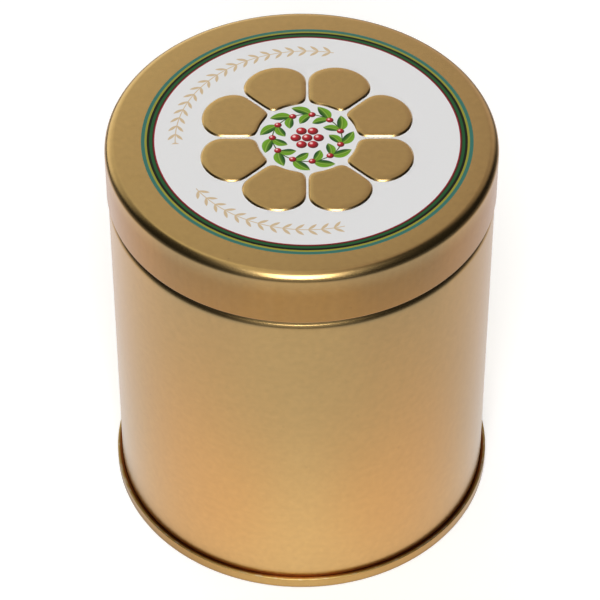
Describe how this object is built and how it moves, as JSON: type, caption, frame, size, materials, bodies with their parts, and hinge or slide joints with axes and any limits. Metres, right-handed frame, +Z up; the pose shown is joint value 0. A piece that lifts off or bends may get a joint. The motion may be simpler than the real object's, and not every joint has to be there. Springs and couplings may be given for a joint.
{
  "type": "cookie tin",
  "caption": "Round gold-lacquered tin with a slip-on lid, an embossed ornament on its panel, a necked mouth and a double-seamed base.",
  "frame": {"origin": "centre of the foot, on the plane that the tin rests on", "axes": "+Z up the tin's axis, out through the lid; +Y towards the side seam at the back; -Y is the front"},
  "size_m": [0.102, 0.102, 0.1168],
  "materials": {
    "lid_lacquer": "satin gold lacquer over tinplate, printed on the panel",
    "body_lacquer": "satin gold lacquer over tinplate, bare tin inside",
    "base_lacquer": "satin gold lacquer over tinplate",
    "sealing_compound": "matt"
  },
  "bodies": {
    "tin": {"body": "body_lacquer", "base_end": "base_lacquer", "seam_compound": "sealing_compound"},
    "lid": {"lid": "lid_lacquer"}
  },
  "joints": [
    {"name": "lid_lift", "type": "slide", "parent": "tin", "child": "lid", "axis": [0, 0, 1], "range_m": [0, 0.06]}
  ]
}
